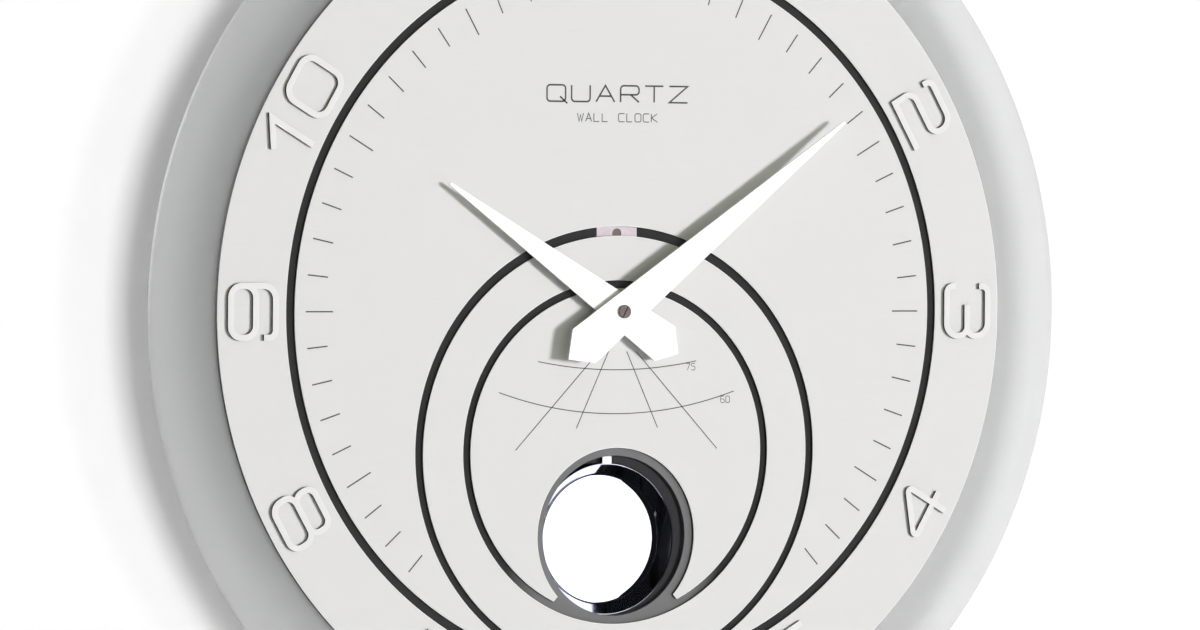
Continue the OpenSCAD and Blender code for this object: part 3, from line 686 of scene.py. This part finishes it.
printed("dial_word", lettering("QUARTZ", (-1, 96), 7.2, 9.2, 12.2, 0.75)
    + lettering("WALL CLOCK", (-1, 85.5), 3.6, 3.0, 4.1, 0.4))
printed("scale_numbers", lettering("75", (36.7, -24.6), 2.9, 1.9, 2.6, 0.3)
    + lettering("60", (54.3, -39.2), 2.9, 1.9, 2.6, 0.3))


# ---- Stage, light and camera ----


def one_sided(name, colour):
    """A stage material that is seen only from its front."""
    look = Look(name, colour, 0.9)
    geometry = look.node("ShaderNodeNewGeometry")
    clear = look.node("ShaderNodeBsdfTransparent")
    mix = look.node("ShaderNodeMixShader")
    look.link(geometry.outputs["Backfacing"], mix.inputs["Fac"])
    look.link(look.shader.outputs["BSDF"], mix.inputs[1])
    look.link(clear.outputs["BSDF"], mix.inputs[2])
    look.link(mix.outputs["Shader"], look.tree.nodes["Material Output"].inputs["Surface"])
    return look.material


def stage_plane(name, corners):
    """A flat stage piece, seen from the side that its corners turn anticlockwise on."""
    mesh = bpy.data.meshes.new(name)
    mesh.from_pydata(corners, [], [list(range(len(corners)))])
    mesh.materials.append(pale)
    plane = add(name, mesh)
    return plane


pale = one_sided("stage_white", (0.90, 0.90, 0.90))
WALL_Y, FLOOR_Z, TOP_Z, REACH, AHEAD = 0.0006, -1.0, 3.0, 4.0, -8.0
foot_left, foot_right = (-REACH, WALL_Y, FLOOR_Z), (REACH, WALL_Y, FLOOR_Z)
wall = stage_plane("wall", [foot_left, foot_right, (REACH, WALL_Y, TOP_Z), (-REACH, WALL_Y, TOP_Z)])
floor = stage_plane("floor", [(-REACH, AHEAD, FLOOR_Z), (REACH, AHEAD, FLOOR_Z), foot_right, foot_left])


def direction(azimuth, elevation):
    """From the clock towards a place: azimuth 0 is straight in front and turns to the right."""
    a, e = math.radians(azimuth), math.radians(elevation)
    return Vector((math.sin(a) * math.cos(e), -math.cos(a) * math.cos(e), math.sin(e)))


AIM = Vector((0, -0.03, 0))
PLAIN, WARM, COOL = (1, 1, 1), (0.97, 1.05, 0.78), (1.01, 0.985, 1.06)


def soft_box(name, azimuth, elevation, distance, size, power, colour=PLAIN, mirrored=False):
    """A soft lamp, in metres and watts, that faces the clock and shows in polished pieces if mirrored."""
    light = bpy.data.lights.new(name, "AREA")
    light.shape = "RECTANGLE"
    light.color = colour
    light.size, light.size_y = size
    light.energy = power
    lamp = bpy.data.objects.new(name, light)
    bpy.context.scene.collection.objects.link(lamp)
    lamp.location = AIM + direction(azimuth, elevation) * distance
    lamp.rotation_euler = (AIM - lamp.location).to_track_quat("-Z", "Y").to_euler()
    lamp.visible_glossy = mirrored
    lamp.visible_camera = False
    return lamp


def group_of(name, pieces):
    """A collection that names the pieces a lamp acts on."""
    group = bpy.data.collections.new(name)
    for piece in pieces:
        group.objects.link(piece)
    return group


SHINY = ("bob", "pendulum_rod_finish", "hand_screw_finish", "link_screw_finish", "bush_nut_finish")
behind = [wall, floor, disc]
polished = [bpy.data.objects[name] for name in SHINY]
solid = [o for o in bpy.data.objects if o.type == "MESH" and o not in behind + polished]
pan = [bpy.data.objects["rear_pan_finish"]]
wall.visible_glossy = floor.visible_glossy = False
disc.visible_diffuse = False

lit_from_ahead = (
    (behind, (
        ("wall_front", 3, 0, 5, (2.6, 3.0), 247),
        ("wall_key", 45, 0, 6, (0.9, 0.9), 53),
        ("wall_top", 20, 60, 6, (2, 2), 17))),
    (solid, (
        ("face_key", 45, 0, 15, (2.9, 2.9), 2900, COOL),
        ("face_top", 20, 60, 6, (2, 2), 44, WARM),
        ("face_side", 40, 5, 8, (6.4, 6.4), 100),
        ("face_front", 8, 10, 5, (2.4, 2.4), 26, WARM))),
    (polished, (
        ("near_card", 32, 1, 5, (3.3, 13), 220, PLAIN, True),
        ("far_card", 69, 1, 5, (3.5, 13), 230, PLAIN, True))),
    (pan, (
        ("cavity", -27.8, 1, 5, (0.3, 0.3), 190),)),
)
for lit, lamps in lit_from_ahead:
    for lamp in lamps:
        soft_box(*lamp).light_linking.receiver_collection = group_of(lamp[0] + "_lit", lit)

# The lamps behind the wall light only the clock, and only the clock stops them.
clock = group_of("clock_pieces", solid + polished + [disc])
for lamp in (
        ("back_left", 205, 15, 5, (2.6, 2.6), 230, PLAIN, True),
        ("back_right", 150, 40, 5, (1.6, 1.6), 90, PLAIN, True)):
    linking = soft_box(*lamp).light_linking
    linking.receiver_collection = linking.blocker_collection = clock


def pale_world(fill, mirrored, shown):
    """A white world: its strength as light, its strength in reflections, and what it adds where seen."""
    world = bpy.data.worlds.new("studio")
    bpy.context.scene.world = world
    world.use_nodes = True
    tree = world.node_tree
    backdrop = tree.nodes["Background"]
    backdrop.inputs["Color"].default_value = (1, 1, 1, 1)
    path = tree.nodes.new("ShaderNodeLightPath")
    level = tree.nodes.new("ShaderNodeMapRange")
    level.inputs["To Min"].default_value = fill
    level.inputs["To Max"].default_value = mirrored
    tree.links.new(path.outputs["Is Glossy Ray"], level.inputs["Value"])
    seen = tree.nodes.new("ShaderNodeMath")
    seen.operation = "MULTIPLY_ADD"
    seen.inputs[1].default_value = shown
    tree.links.new(path.outputs["Is Camera Ray"], seen.inputs[0])
    tree.links.new(level.outputs["Result"], seen.inputs[2])
    tree.links.new(seen.outputs["Value"], backdrop.inputs["Strength"])


pale_world(fill=0.03, mirrored=0.007, shown=0.75)

bpy.context.scene.view_settings.view_transform = "Standard"

TARGET, DISTANCE, LENS = Vector((-0.00893, -0.030, -0.00160)), 3.3349, 226.86
YAW, PITCH, ROLL = math.radians(27.79), math.radians(1.02), math.radians(0.45)
forward = Vector((math.sin(YAW) * math.cos(PITCH), math.cos(YAW) * math.cos(PITCH), -math.sin(PITCH)))
level_right = Vector((math.cos(YAW), -math.sin(YAW), 0))
level_up = level_right.cross(forward)
right = math.cos(ROLL) * level_right + math.sin(ROLL) * level_up
up = math.cos(ROLL) * level_up - math.sin(ROLL) * level_right
camera = bpy.data.objects.new("camera", bpy.data.cameras.new("camera"))
bpy.context.scene.collection.objects.link(camera)
camera.data.sensor_width = 36
camera.data.lens = LENS
camera.data.clip_end = 100
camera.matrix_world = Matrix((right, up, -forward)).transposed().to_4x4()
camera.location = TARGET - forward * DISTANCE
bpy.context.scene.camera = camera
